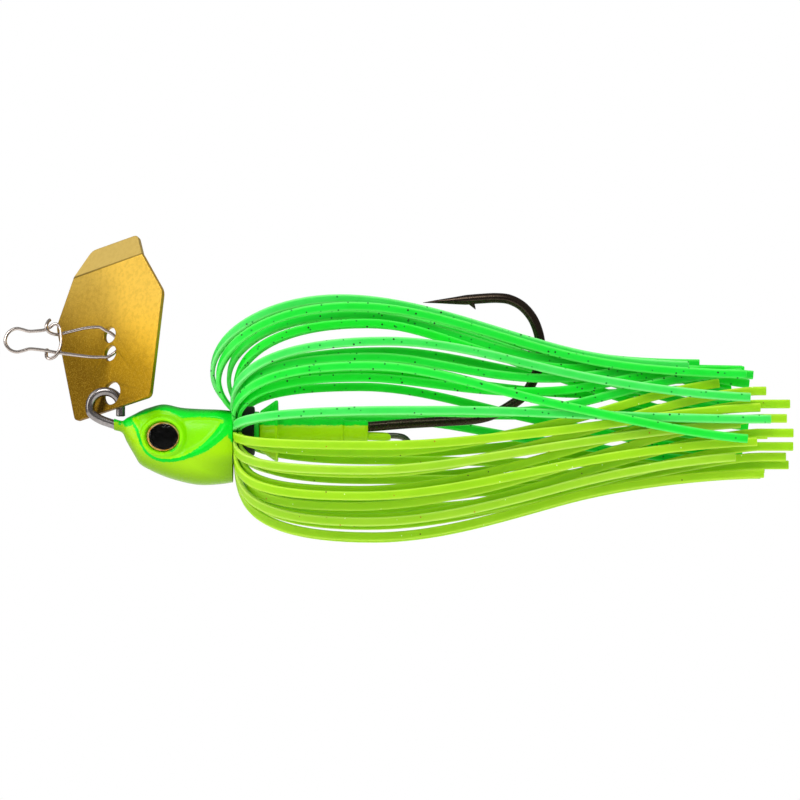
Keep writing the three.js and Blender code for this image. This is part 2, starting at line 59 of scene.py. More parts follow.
BLADE_AXIS_TILT = 17.8
BLADE_LEAN = 6.15
BLADE_REST = 53.0
SNAP_WIRE_R = 0.25
HOOK_R = 0.75
KEEPER_WIRE_R = 0.45
EYE = {"x": 23.6, "z": -14.2, "depth": 3.45, "yaw": 13, "foil_r": 2.35, "foil_t": 0.14, "dome_h": 0.95}

WAIST_X = 83
TAIL_X = 112
SHELL_CENTRE = (2.15, 1.35, 1.65)
ROOT_R = 3.24
ROOT_FIRST, ROOT_STEP = 9, 18
STRAND = {"root_w": 0.84, "width": 1.32, "root_t": 0.56, "thickness": 0.74}
# the two shells that the strands lie on: half height and half width at bulge, waist and tail, and the loops
# from the top down, as x of the bulge, forward reach and rise. Near and far strands share their loops.
# SHELL_CENTRE is how far the middle of both is over the axis at those three places
SHELLS = {
    "outer": {"root_x": 34.32, "bulge": (18.65, 12), "waist": (12.15, 9), "tail": (9.4, 8), "loops": (
        (50, 9.0, 6.5), (52, 7.0, 6.5), (57, 1.6, 5.5), (54, 0.8, 5.0), (60, 0.2, 4.0), (56, 0.0, 4.0),
        (54, 0.0, 5.0), (53, 0.0, 6.2), (54, 0.0, 6.7), (55, 0.0, 7.0),
    )},
    "inner": {"root_x": 35.06, "bulge": (16.3, 10), "waist": (10.4, 7), "tail": (7.4, 5.9), "loops": (
        (52, 5.0, 6.5), (54, 2.5, 6.0), (55, 0.8, 5.5), (53, 0.4, 4.5), (58, 0.0, 4.0), (55, 0.0, 4.0),
        (54, 0.0, 4.5), (53, 0.0, 5.5), (52, 0.0, 6.0), (54, 0.0, 6.5),
    )},
}
# one row per strand, from the top down: degrees round the shell at bulge, waist and tail, x of the end,
# (how far out of the shell it lies at waist and tail)
OUTER_NEAR = (
    (19, 27, 33, 102.0), (28, 33, 44, 110.5), (53, 52, 69, 111.0), (66, 79, 106, 110.5, 1.0),
    (87, 84, 89, 114.0), (103, 96, 77, 112.5, -1.0), (115, 108, 93, 109.5, -1.0),
    (129, 124, 111, 112.0, -0.5), (147, 143, 124, 108.8), (164, 163, 148, 113.2),
)
OUTER_FAR = (
    (19, 27, 27, 104.0), (28, 33, 37, 110.5), (58, 57, 47, 111.0), (70, 69, 58, 109.0),
    (89, 85, 74, 111.5), (108, 103, 89, 112.0), (120, 118, 104, 114.5), (134, 133, 120, 108.0),
    (152, 151, 135, 113.0), (169, 170, 151, 113.2),
)
INNER_NEAR = (
    (21, 28, -63, 108.5), (31, 39, -43, 111.5), (57, 51, -24, 112.0), (69, 63, -4, 110.5),
    (87, 77, 16, 110.0), (109, 90, 36, 106.5), (121, 103, 54, 113.5), (132, 116, 71, 117.0),
    (145, 130, 88, 116.5), (158, 145, 105, 117.5),
)
INNER_FAR = (
    (21, 36, 81, 108.5), (31, 50, 98, 111.5), (62, 76, 116, 112.0), (74, 92, 134, 110.5),
    (92, 108, 152, 110.0), (114, 126, 170, 106.5), (126, 140, 188, 113.5), (137, 154, 205, 117.0),
    (150, 168, 222, 116.5), (163, 183, 238, 117.5),
)


# ---- small maths ----
def clamp(x, low=0.0, high=1.0):
    return max(low, min(high, x))


def smoothstep(x, low, high):
    u = clamp((x - low) / (high - low))
    return u * u * (3 - 2 * u)


def hermite(a, b, ma, mb, u):
    """From a to b as u goes from 0 to 1, with the slopes ma and mb at the ends."""
    u2, u3 = u * u, u * u * u
    return (2 * u3 - 3 * u2 + 1) * a + (u3 - 2 * u2 + u) * ma + (3 * u2 - 2 * u3) * b + (u3 - u2) * mb


def smooth_at(table, column, x):
    """Value of a table's column at x, on a smooth curve through its rows. Column 0 is x."""
    rows = len(table)
    i = 0
    while i < rows - 2 and x > table[i + 1][0]:
        i += 1

    def slope(k):
        lo, hi = max(k - 1, 0), min(k + 1, rows - 1)
        return (table[hi][column] - table[lo][column]) / (table[hi][0] - table[lo][0])

    span = table[i + 1][0] - table[i][0]
    return hermite(table[i][column], table[i + 1][column], slope(i) * span, slope(i + 1) * span,
                   (x - table[i][0]) / span)


def circle(count):
    """Angles of evenly spaced points once round a circle."""
    return [2 * math.pi * k / count for k in range(count)]


def corner(start, here, end, u):
    """Point at share u of the arc that cuts a corner off."""
    return start * (1 - u) ** 2 + here * (2 * u * (1 - u)) + end * u * u


def centripetal(points, per_span=14):
    """A dense line along the centripetal Catmull-Rom curve through the points."""
    pts = [Vector(p) for p in points]
    pts = [pts[0] * 2 - pts[1]] + pts + [pts[-1] * 2 - pts[-2]]
    out = []
    for i in range(1, len(pts) - 2):
        p0, p1, p2, p3 = pts[i - 1:i + 3]
        d0, d1, d2 = ((b - a).length ** 0.5 for a, b in ((p0, p1), (p1, p2), (p2, p3)))
        t1 = (p1 - p0) / d0 - (p2 - p0) / (d0 + d1) + (p2 - p1) / d1
        t2 = (p2 - p1) / d1 - (p3 - p1) / (d1 + d2) + (p3 - p2) / d2
        t1, t2 = t1 * d1, t2 * d1
        for k in range(per_span):
            u = k / per_span
            out.append(Vector([hermite(p1[c], p2[c], t1[c], t2[c], u) for c in range(3)]))
    out.append(pts[-2].copy())
    return out


def resample(line, count):
    """count + 1 points evenly spaced along a line."""
    lengths = [0.0]
    for a, b in zip(line, line[1:]):
        lengths.append(lengths[-1] + (b - a).length)
    out, i = [], 0
    for k in range(count + 1):
        s = lengths[-1] * k / count
        while i < len(line) - 2 and lengths[i + 1] < s:
            i += 1
        span = max(lengths[i + 1] - lengths[i], 1e-9)
        out.append(line[i].lerp(line[i + 1], clamp((s - lengths[i]) / span)))
    return out


# ---- mesh helpers ----
SHARP = 35
ON_AXIS = 1e-6
# rings that round off a wire's end: way outward and size, as shares of the wire's radius
END_DOME = ((0.0, 1.0), (0.18, 0.94), (0.3, 0.8), (0.36, 0.5))


def add_object(name, data):
    """A new object in the scene for a mesh, curve, light or camera."""
    obj = bpy.data.objects.new(name, data)
    bpy.context.scene.collection.objects.link(obj)
    return obj


def set_attribute(mesh, name, values):
    """One number per vertex for a material to read."""
    mesh.attributes.new(name, "FLOAT", "POINT").data.foreach_set("value", values)


def shade_smooth(bm, sharp):
    """Turns the faces outwards and smooths them, but not across edges of sharp degrees or more."""
    bmesh.ops.recalc_face_normals(bm, faces=bm.faces)
    for face in bm.faces:
        face.smooth = True
    for edge in bm.edges:
        edge.smooth = len(edge.link_faces) != 2 or edge.calc_face_angle(0) < sharp * RAD


def new_object(name, verts, faces, material, body="head", replaces=(), slot=None, sharp=SHARP,
               per_vertex=None):
    """A piece from vertices in millimetres. per_vertex is {attribute: values} for its material."""
    mesh = bpy.data.meshes.new(name)
    mesh.from_pydata([Vector(v) * MM for v in verts], [], faces)
    mesh.validate()
    for key, values in (per_vertex or {}).items():
        set_attribute(mesh, key, values)
    bm = bmesh.new()
    bm.from_mesh(mesh)
    shade_smooth(bm, sharp)
    bm.to_mesh(mesh)
    bm.free()
    mesh.materials.append(material)
    obj = add_object(name, mesh)
    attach(obj, body)
    if replaces:
        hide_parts(*replaces)
    return obj


def ring_skin(rings):
    """Vertices and faces of a closed skin through rings of equal point count."""
    n = len(rings[0])
    verts = [p for ring in rings for p in ring]
    faces = [(i * n + j, i * n + (j + 1) % n, (i + 1) * n + (j + 1) % n, (i + 1) * n + j)
             for i in range(len(rings) - 1) for j in range(n)]
    faces.append(tuple(range(n))[::-1])
    faces.append(tuple((len(rings) - 1) * n + j for j in range(n)))
    return verts, faces


def swept(line, radius, sides):
    """Rings of a round wire along a line, with domed ends. radius is a number or radius(point, share)."""
    last = len(line) - 1
    tangents = [(line[min(i + 1, last)] - line[max(i - 1, 0)]).normalized() for i in range(last + 1)]
    normal = tangents[0].orthogonal().normalized()
    rings = []
    for i, (p, t) in enumerate(zip(line, tangents)):
        if i:
            normal = tangents[i - 1].rotation_difference(t) @ normal
            normal = (normal - t * normal.dot(t)).normalized()
        r = radius(p, i / last) if callable(radius) else radius
        across = t.cross(normal)
        rings.append([p + normal * (r * math.cos(a)) + across * (r * math.sin(a)) for a in circle(sides)])
    domed = []
    for end, sign in ((0, -1), (last, 1)):
        r = (rings[end][0] - line[end]).length
        extra = []
        for push, shrink in END_DOME:
            centre = line[end] + tangents[end] * (sign * r * (push - END_DOME[-1][0]))
            extra.append([centre + (q - line[end]) * shrink for q in rings[end]])
        domed.append(extra)
    return domed[0][::-1] + rings[1:-1] + domed[1]


def wire(name, points, radius, samples, sides, material, **kind):
    """Round wire on a smooth curve through the points."""
    rings = swept(resample(centripetal(points), samples), radius, sides)
    return new_object(name, *ring_skin(rings), material, **kind)


def revolved(name, profile, sides, material, place=None, **kind):
    """Closed body of revolution. Profile points are (along, radius), and place maps (along, across, up)."""
    place = place or (lambda a, u, v: Vector((a, u, AXIS_Z + v)))
    verts, faces, rows = [], [], []
    for along, r in profile:
        if r < ON_AXIS:
            rows.append([len(verts)])
            verts.append(place(along, 0, 0))
        else:
            rows.append(list(range(len(verts), len(verts) + sides)))
            verts += [place(along, r * math.cos(a), r * math.sin(a)) for a in circle(sides)]
    pairs = list(zip(rows, rows[1:]))
    if profile[0][1] > ON_AXIS:
        pairs.append((rows[-1], rows[0]))
    for lower, upper in pairs:
        for j in range(sides):
            k = (j + 1) % sides
            if len(lower) == 1:
                faces.append((lower[0], upper[j], upper[k]))
            elif len(upper) == 1:
                faces.append((lower[j], lower[k], upper[0]))
            else:
                faces.append((lower[j], lower[k], upper[k], upper[j]))
    return new_object(name, verts, faces, material, **kind)


def rounded(profile, radius, closed=True):
    """Profile with its corners cut by short arcs."""
    out = []
    n = len(profile)
    for i, p in enumerate(profile):
        if not closed and i in (0, n - 1):
            out.append(p)
            continue
        p = Vector(p)
        a, b = Vector(profile[i - 1]), Vector(profile[(i + 1) % n])
        r = min(radius, (a - p).length * 0.45, (b - p).length * 0.45)
        start, end = p + (a - p).normalized() * r, p + (b - p).normalized() * r
        for u in (0, 0.33, 0.67, 1):
            q = corner(start, p, end, u)
            out.append((q.x, q.y))
    return out


# ---- materials ----
def linear(rgb):
    """Linear RGBA of an sRGB colour given as three numbers up to 255."""
    shares = [v / 255 for v in rgb]
    return tuple(c / 12.92 if c <= 0.04045 else ((c + 0.055) / 1.055) ** 2.4 for c in shares) + (1.0,)


class Nodes:
    """A short way to write a material's node tree."""

    def __init__(self, name):
        self.material = bpy.data.materials.new(name)
        self.material.use_nodes = True
        self.tree = self.material.node_tree
        self.shader = self.tree.nodes["Principled BSDF"]
        self.where = self.add("ShaderNodeTexCoord").outputs["Object"]

    def add(self, kind, **settings):
        node = self.tree.nodes.new(kind)
        for key, value in settings.items():
            setattr(node, key, value)
        return node

    def put(self, value, socket):
        """Links or sets an input. A colour is given as three sRGB numbers up to 255."""
        if isinstance(value, bpy.types.NodeSocket):
            self.tree.links.new(value, socket)
        else:
            socket.default_value = linear(value) if socket.type == "RGBA" else value

    def attribute(self, name):
        return self.add("ShaderNodeAttribute", attribute_name=name).outputs["Fac"]

    def math(self, operation, a, b):
        node = self.add("ShaderNodeMath", operation=operation)
        self.put(a, node.inputs[0])
        self.put(b, node.inputs[1])
        return node.outputs[0]

    def noise(self, scale, detail=3.0, roughness=0.5, vector=None):
        node = self.add("ShaderNodeTexNoise")
        self.put(vector or self.where, node.inputs["Vector"])
        for key, number in (("Scale", scale), ("Detail", detail), ("Roughness", roughness)):
            node.inputs[key].default_value = number
        return node.outputs["Fac"]

    def ramp(self, value, low, high, out_low=0.0, out_high=1.0):
        node = self.add("ShaderNodeMapRange", interpolation_type="SMOOTHSTEP")
        self.put(value, node.inputs["Value"])
        for key, number in (("From Min", low), ("From Max", high), ("To Min", out_low), ("To Max", out_high)):
            node.inputs[key].default_value = number
        return node.outputs["Result"]

    def stretch(self, noise, low, high):
        """A noise, which mostly stays between 0.3 and 0.7, made to run from low to high."""
        return self.ramp(noise, 0.3, 0.7, low, high)

    def wander(self, noise, amount):
        """A noise moved to vary round 0, times amount."""
        return self.math("MULTIPLY", self.math("SUBTRACT", noise, 0.5), amount)

    def mix(self, factor, a, b, blend="MIX"):
        """Colour a where factor is 0 and b where it is 1. These sockets are the colour ones."""
        node = self.add("ShaderNodeMix", data_type="RGBA", blend_type=blend)
        self.put(factor, node.inputs[0])
        self.put(a, node.inputs[6])
        self.put(b, node.inputs[7])
        return node.outputs[2]

    def bump(self, height, depth, strength):
        """Fine relief of a depth in millimetres."""
        node = self.add("ShaderNodeBump")
        self.put(height, node.inputs["Height"])
        node.inputs["Distance"].default_value = depth * MM
        node.inputs["Strength"].default_value = strength
        return node.outputs["Normal"]

    def finish(self, **sockets):
        """Sets the shader's inputs by name, with _ for a space, and gives the material."""
        for key, value in sockets.items():
            self.put(value, self.shader.inputs[key.replace("_", " ")])
        return self.material


GREEN = (0, 222, 36)
GREEN_DEEP = (0, 176, 30)
LIME = (150, 222, 0)
LIME_CHEEK = (128, 220, 0)
BELLY = (160, 216, 0)
# tint that the painted shade multiplies in
PAINTED_SHADE = (174, 180, 130)
GLOW_DEPTH = 1.2 * MM
PUPIL = 0.87


def paint(name, base, cheek=None):
    """Sprayed paint by vertex: 'green' masks the overspray, 'cheek' the scoop, 'shade' the painted shade."""
    n = Nodes(name)
    mask = n.attribute("green")
    shift = n.math("ADD", n.wander(n.noise(650, 4, 0.6), 0.55), n.wander(n.noise(2600, 2, 0.7), 0.75))
    spray = n.ramp(n.math("ADD", mask, shift), 0.32, 0.68)
    under = n.mix(n.attribute("cheek"), base, cheek) if cheek else base
    mottled = n.mix(n.ramp(n.noise(240, 3), 0.35, 0.7, 0.0, 0.16), under, LIME)
    green = n.mix(n.ramp(n.noise(420, 3), 0.3, 0.75, 0.0, 0.55), GREEN, GREEN_DEEP)
    colour = n.mix(spray, mottled, green)
    # painted shade, darker to the belly, along the top of the back and at the rear of the belly
    colour = n.mix(n.attribute("shade"), colour, PAINTED_SHADE, blend="MULTIPLY")
    orange_peel = n.bump(n.noise(900, 2), 0.02, 0.5)
    return n.finish(Base_Color=colour, Roughness=n.stretch(n.noise(500, 3), 0.24, 0.36), Normal=orange_peel,
                    Coat_Weight=0.06, Coat_Roughness=0.12, Specular_IOR_Level=0.14)


def silicone(name, base, deep, painted_sheen, flakes, seed):
    """Soft translucent strand: a painted highlight on its thin edges, sparse flakes, faint grain.

    A flake is (cells per metre, radius as a share of a cell, colour, share of the cells that have one).
    """
    n = Nodes(name)
    mapping = n.add("ShaderNodeMapping")
    n.put(n.where, mapping.inputs["Vector"])
    mapping.inputs["Location"].default_value = (seed, seed * 0.7, -seed)
    where = mapping.outputs[0]
    # painted highlight: the pale tone laid along the strand's edges and cut end
    edge = n.ramp(n.attribute("edge"), 0.35, 1.0)
    cloud = n.noise(160, 3, 0.6, where)
    colour = n.mix(n.ramp(cloud, 0.35, 0.7, 0.0, 0.55), base, deep)
    colour = n.mix(n.math("MULTIPLY", edge, 0.75), colour, painted_sheen)
    for scale, size, tint, share in flakes:
        cell = n.add("ShaderNodeTexVoronoi")
        n.put(where, cell.inputs["Vector"])
        cell.inputs["Scale"].default_value = scale
        chosen = n.add("ShaderNodeSeparateColor")
        n.put(cell.outputs["Color"], chosen.inputs[0])
        dot = n.ramp(cell.outputs["Distance"], size * 0.8, size * 1.15, 1.0, 0.0)
        keep = n.math("LESS_THAN", chosen.outputs[0], share)
        colour = n.mix(n.math("MULTIPLY", dot, keep), colour, tint)
    grain = n.noise(2200, 2, 0.5, where)
    return n.finish(Base_Color=colour, Roughness=n.stretch(grain, 0.36, 0.5), Normal=n.bump(grain, 0.01, 0.6),
                    Subsurface_Weight=0.5, Specular_IOR_Level=0.3,
                    Subsurface_Radius=(GLOW_DEPTH, GLOW_DEPTH, GLOW_DEPTH), Subsurface_Scale=0.6)


def metal(name, colour, dark, roughness, grain_scale):
    """Bare or plated wire: broad and fine patches of a darker tone, and a fine grain."""
    n = Nodes(name)
    grain = n.noise(grain_scale, 3, 0.6)
    tone = n.mix(n.ramp(n.noise(180, 3), 0.3, 0.72, 0.0, 0.5), colour, dark)
    tone = n.mix(n.ramp(grain, 0.35, 0.65, 0.0, 0.3), tone, dark)
    patchy = n.stretch(grain, roughness * 0.85, roughness * 1.15)
    return n.finish(Base_Color=tone, Metallic=1.0, Roughness=patchy, Normal=n.bump(grain, 0.004, 0.5))


PAINT_HEAD = paint("paint_head", BELLY, LIME_CHEEK)
PAINT_KEEPER = paint("paint_keeper", (176, 224, 10))
HOOK_METAL = metal("hook_black_nickel", (70, 60, 50), (34, 29, 25), 0.28, 2600)
STAINLESS = metal("hanger_stainless", (158, 152, 150), (96, 90, 88), 0.24, 2400)
KEEPER_METAL = metal("keeper_wire_steel", (120, 116, 108), (66, 62, 56), 0.3, 2400)
SNAP_METAL = metal("snap_nickel", (214, 202, 194), (130, 118, 110), 0.17, 3000)


def gold_plate():
    """Satin gold plate by vertex, with painted light: dark to the lower left and bright to the right, a paler
    painted sheen towards the top, a painted highlight on the folded lip and painted shade along its crease.
    """
    n = Nodes("blade_gold")
    fine, medium = n.noise(5000, 2, 0.7), n.noise(1500, 3, 0.6)
    # painted light: a tone from dark at the lower left to bright at the right and top, with a broad wander
    painted_light = n.math("ADD", n.attribute("painted_light"), n.wander(n.noise(90, 2, 0.5), 0.3))
    tone = n.mix(n.ramp(painted_light, 0.0, 0.55), (112, 80, 0), (168, 128, 14))
    tone = n.mix(n.ramp(painted_light, 0.5, 1.0), tone, (243, 190, 46))
    # painted sheen, paler towards the top
    tone = n.mix(n.ramp(n.attribute("painted_sheen"), 0.35, 0.95, 0.0, 0.45), tone, (222, 192, 104))
    tone = n.mix(n.ramp(medium, 0.4, 0.66, 0.0, 0.16), tone, (104, 80, 4))
    tone = n.mix(n.ramp(fine, 0.45, 0.7, 0.0, 0.26), tone, (228, 188, 70))
    # painted highlight on the folded lip, then painted shade along the crease of the fold
    tone = n.mix(n.ramp(n.attribute("lip"), 0.4, 0.6, 0.0, 0.7), tone, (239, 207, 114))
    tone = n.mix(n.math("MULTIPLY", n.attribute("crease_shade"), 0.6), tone, (96, 72, 8))
    grain = n.math("ADD", fine, medium)
    return n.finish(Base_Color=tone, Metallic=0.95, Roughness=n.stretch(medium, 0.36, 0.48),
                    Normal=n.bump(grain, 0.02, 0.7))


def band_rubber():
    n = Nodes("band_rubber")
    grain = n.noise(1800, 4, 0.6)
    tone = n.mix(n.ramp(grain, 0.35, 0.7), (6, 7, 6), (18, 19, 18))
    return n.finish(Base_Color=tone, Roughness=n.stretch(grain, 0.5, 0.7), Normal=n.bump(grain, 0.03, 0.8),
                    Specular_IOR_Level=0.25)


def eye_print():
    """Printed eye disc: black pupil, gold iris and thin orange rim by 'eye', the share of its radius."""
    n = Nodes("eye_print")
    r = n.math("ADD", n.attribute("eye"), n.wander(n.noise(900, 3), 0.08))
    iris = n.mix(n.ramp(n.noise(1300, 3), 0.35, 0.65), (250, 160, 50), (255, 226, 140))
    colour = n.mix(n.ramp(r, PUPIL, PUPIL + 0.05), (1, 1, 1), iris)
    colour = n.mix(n.ramp(r, 0.96, 1.0), colour, (150, 80, 14))
    return n.finish(Base_Color=colour, Roughness=0.55, Metallic=n.ramp(r, PUPIL, PUPIL + 0.05, 0.0, 0.4),
                    Specular_IOR_Level=0.05, Normal=n.bump(n.noise(1500, 2), 0.01, 0.4))


def clear_dome():
    """Clear resin with little refraction, so that the print under it keeps its size."""
    n = Nodes("eye_dome_clear")
    return n.finish(Base_Color=(255, 255, 255), Roughness=n.stretch(n.noise(400, 2), 0.01, 0.04),
                    Transmission_Weight=1.0, IOR=1.17)


# ---- head ----
# x, then top, bottom and half width there
HEAD = (
    (16.1, -11.65, -13.35, 0.86), (17.4, -11.95, -13.85, 0.95), (18.0, -11.55, -15.1, 1.5),
    (19.3, -10.9, -17.35, 2.5), (19.95, -10.55, -18.4, 2.85), (21.2, -10.05, -19.2, 3.4),
    (23.5, -9.5, -20.25, 4.15), (26.2, -10.0, -21.1, 4.6), (29.0, -10.2, -21.6, 4.7),
    (31.9, -10.3, -21.5, 4.5), (34.0, -10.5, -21.2, 4.2),
)
HEAD_FRONT_X, SNOUT_X, HEAD_REAR_X = HEAD[0][0], HEAD[1][0], HEAD[-1][0]
# power of the head's section, where 2 is an ellipse. The snout in front of SNOUT_X is one
HEAD_SQUARENESS = 2.35
# lower edge of the green back, then the green crest under the cheek with its half width: x, z, (w)
BACK_EDGE = ((17.9, -12.2), (19.1, -11.5), (21.3, -10.8), (23.0, -10.4), (25.3, -10.9), (26.2, -11.5),
             (28.2, -11.45), (30.8, -11.45), (32.1, -11.7), (34.0, -12.2))
CREST = ((18.6, -11.9, 0.1), (19.42, -12.9, 0.2), (19.95, -14.2, 0.2), (20.4, -15.5, 0.16),
         (21.15, -16.7, 0.16), (22.35, -17.55, 0.17), (23.75, -17.87, 0.19), (25.95, -17.7, 0.22),
         (28.2, -16.87, 0.36), (29.9, -15.93, 0.56), (31.65, -14.4, 0.74), (33.1, -12.8, 0.95))
CREST_STEPS = 8
CREST_LINE = centripetal([(x, 0, z) for x, z, _ in CREST], CREST_STEPS)
# the flat socket of the eye and the ring round it: radii in the eye's plane, heights over it
SOCKET_R, RING_R = 2.5, 3.55
SOCKET_H, RING_H = -0.06, 0.62
SOCKET_WALL = 0.12
# the eye and its socket are wider than high, and a little low
EYE_SPREAD, EYE_SQUASH, EYE_DROP = 1.05, 0.91, 0.12
# rings that close the head's rear end: size and x from the rear face
REAR_RINGS = ((1.0, -0.12), (0.99, -0.03), (0.965, 0.0), (0.5, 0.0))


def edge_at(table, x):
    return smooth_at(table, 1, clamp(x, table[0][0], table[-1][0]))


def crest_width(i):
    """Half width of the crest at point i of its line, even between the rows of its table."""
    row, step = divmod(i, CREST_STEPS)
    here = CREST[min(row, len(CREST) - 2)][2]
    after = CREST[min(row + 1, len(CREST) - 1)][2]
    return here + step / CREST_STEPS * (after - here)


def crest_at(x, z):
    """Distance from the crest line, positive above or inside it, and the line's half width there."""
    p = Vector((x, 0, z))
    i = min(range(len(CREST_LINE)), key=lambda k: (CREST_LINE[k] - p).length_squared)
    along = (CREST_LINE[min(i + 1, len(CREST_LINE) - 1)] - CREST_LINE[max(i - 1, 0)]).normalized()
    off = p - CREST_LINE[i]
    side = along.x * off.z - along.z * off.x
    return math.copysign(off.length, side), crest_width(i)


def eye_axes(side):
    """Centre of an eye, its outward axis and its axis along the head. side is -1 for the near one."""
    out = Vector((-math.sin(EYE["yaw"] * RAD), side * math.cos(EYE["yaw"] * RAD), 0))
    along = Vector((0, 0, 1)).cross(out).normalized()
    return Vector((EYE["x"], side * EYE["depth"], EYE["z"])), out, along


def in_eye_plane(p, side):
    """Place in the plane of the eye, with the eye's oval made round, and the height over the plane."""
    centre, out, along = eye_axes(side)
    rel = p - centre
    return Vector((rel.dot(along) / EYE_SPREAD, (rel.z + EYE_DROP) / EYE_SQUASH)), rel.dot(out)


def eye_relief(r, height):
    """Height of the skin over the eye's plane, with the socket and its raised ring cut into it."""
    if r < SOCKET_R:
        return SOCKET_H
    if r >= RING_R:
        return height
    u = (r - SOCKET_R) / (RING_R - SOCKET_R)
    bead = max(height, RING_H) + 0.12 - 0.55 * (u - 0.3) ** 2
    if u <= SOCKET_WALL:
        return SOCKET_H + (bead - SOCKET_H) * smoothstep(u, 0.0, SOCKET_WALL)
    return height + (bead - height) * (1 - smoothstep(u, 0.55, 1.0))


def green_mask(x, z, off, width, side, flat):
    """Overspray on the head: its back, crest, rear edge, nose and snout, and a streak under the eye."""
    back = smoothstep(z - edge_at(BACK_EDGE, x), -0.45, 0.45)
    soft = 0.16 * (1 - smoothstep(x, 20.6, 22.0))
    crest = 1 - smoothstep(abs(off), width - 0.1 - soft, width + 0.22 + soft)
    crest *= smoothstep(x, 18.2, 19.2)
    nose = 0.85 * (1 - smoothstep(math.hypot(x - 18.1, z + 12.0), 0.4, 1.5))
    rear = smoothstep(x + 0.35 * max(0, z + 15.5), 33.2, 34.4) * smoothstep(z, -16.4, -14.6)
    snout = 0.9 * smoothstep(17.0 - abs(x - 17.0), 16.4, 17.0) * smoothstep(z, -12.9, -12.4)
    green = max(back, crest, rear, nose, snout)
    r = flat.length
    if 2.45 < r < 3.2 and flat.y < 0.4:
        below = -math.atan2(flat.y, flat.x * (1 if side < 0 else -1))
        streak = smoothstep(below, 0.1, 0.5) * (1 - smoothstep(below, 1.0, 1.5))
        green = max(green, 0.62 * streak * (1 - smoothstep(r, 2.8, 3.1)))
    return green


def painted_shade_mask(x, z, top, bottom):
    """Painted shade on the head: darker to its belly, along the line of its back and at the rear of the
    belly.
    """
    belly = 0.75 * smoothstep(bottom + 3.4 - z, 0.0, 3.4)
    ridge = smoothstep(z - top, -0.75, -0.05) * smoothstep(x, 18, 20)
    rear_belly = 0.6 * smoothstep(x, 27, 33.5) * smoothstep(-z, 16.0, 18.5)
    return max(belly, ridge, rear_belly)


def head_point(x, angle):
    """Point of the head's skin, with its crest, scooped cheek and eye socket, its two paint masks and its
    painted shade.
    """
    top, bottom, half = (smooth_at(HEAD, column, x) for column in (1, 2, 3))
    power = 2 / (2 if x < SNOUT_X else HEAD_SQUARENESS)
    c, s = math.cos(angle), math.sin(angle)
    y = half * math.copysign(abs(c) ** power, c)
    z = (top + bottom) / 2 + (top - bottom) / 2 * math.copysign(abs(s) ** power, s)
    side = 1 if y > 0 else -1
    off, width = crest_at(x, z)
    sideways = smoothstep(abs(y) / max(half, 0.01), 0.35, 0.8) * smoothstep(x, 18.6, 20.0)
    under_back = smoothstep(edge_at(BACK_EDGE, x) + 0.5 - z, 0.0, 1.1)
    inside = smoothstep(off, 0.1, 1.3) * under_back * smoothstep(33.2 - x, 0, 1.5)
    scoop = 0.42 + 0.16 * smoothstep(x, 26.2, 26.9)
    y -= side * scoop * inside * sideways
    y += side * 0.16 * math.exp(-(off / 0.5) ** 2) * sideways * smoothstep(33.6 - x, 0, 2)
    p = Vector((x, y, z))
    flat, height = in_eye_plane(p, side)
    if abs(y) > 0.4 and height > -1.6:
        p = p + eye_axes(side)[1] * (eye_relief(flat.length, height) - height)
    cheek = smoothstep(off, 0.0, 0.8) * smoothstep(x, 18.5, 19.6)
    return p, green_mask(x, z, off, width, side, flat), cheek, painted_shade_mask(x, z, top, bottom)


def head_stations():
    """x of the head's rings, closer together at the snout and the rear."""
    stations, x = [], HEAD_FRONT_X
    while x < HEAD_REAR_X - 1e-6:
        stations.append(x)
        x += 0.1 if x < 18.2 or x > 33.4 else 0.13
    return stations + [HEAD_REAR_X]


def build_head():
    sides = 176
    rings = []
    masks = {"green": [], "cheek": [], "shade": []}
    for x in head_stations():
        points = [head_point(x, a) for a in circle(sides)]
        rings.append([point[0] for point in points])
        for key, values in zip(masks, zip(*(point[1:] for point in points))):
            masks[key] += values
    # soft rear edge, then the flat rear face, which leans forward below
    last = rings.pop()
    middle = Vector((0, 0, (smooth_at(HEAD, 1, HEAD_REAR_X) + smooth_at(HEAD, 2, HEAD_REAR_X)) / 2))
    for size, back in REAR_RINGS:
        rings.append([])
        for p in last:
            q = middle + (p - middle) * size
            q.x = HEAD_REAR_X + back - 0.5 * smoothstep(-p.z, 16.5, 21.2)
            rings[-1].append(q)
    for values in masks.values():
        values += values[-sides:] * (len(REAR_RINGS) - 1)
    new_object("head_casting", *ring_skin(rings), PAINT_HEAD, replaces=("lead_head",), slot="painted_lead",
               sharp=50, per_vertex=masks)


build_head()


def keeper_mask(obj, level):
    """Green overspray on the keeper above a level in z."""
    heights = [v.co.z / MM - level for v in obj.data.vertices]
    set_attribute(obj.data, "green", [smoothstep(h, -0.4, 0.4) for h in heights])


def build_keeper():
    """Collar, flange and two barrels behind the head, with rounded corners."""
    f, b, t = FLANGE, BARREL, TAIL_BARREL
    start = HEAD_REAR_X - 0.5
    profile = [(start, 0), (start, COLLAR_R), (f["x0"], COLLAR_R), (f["x0"], f["r0"]),
               (f["x1"] - 0.35, f["r1"]), (f["x1"], f["r1"]), (f["x1"], b["r"]), (b["x1"] - 0.25, b["r"]),
               (b["x1"], b["r"] - 0.2), (b["x1"], t["r"]), (t["x1"] - 0.3, t["r"]), (t["x1"], t["r"] - 0.2),
               (t["x1"], 0)]
    profile = rounded(profile, 0.16, closed=False)
    step = 0.35
    fine = []
    for p, q in zip(profile, profile[1:]):
        steps = max(1, int(abs(q[0] - p[0]) / step))
        fine += [(p[0] + (q[0] - p[0]) * k / steps, p[1] + (q[1] - p[1]) * k / steps) for k in range(steps)]
    fine.append(profile[-1])
    keeper = revolved("keeper_barrels", fine, 96, PAINT_KEEPER, slot="painted_lead", sharp=50)
    keeper_mask(keeper, AXIS_Z + 0.85)


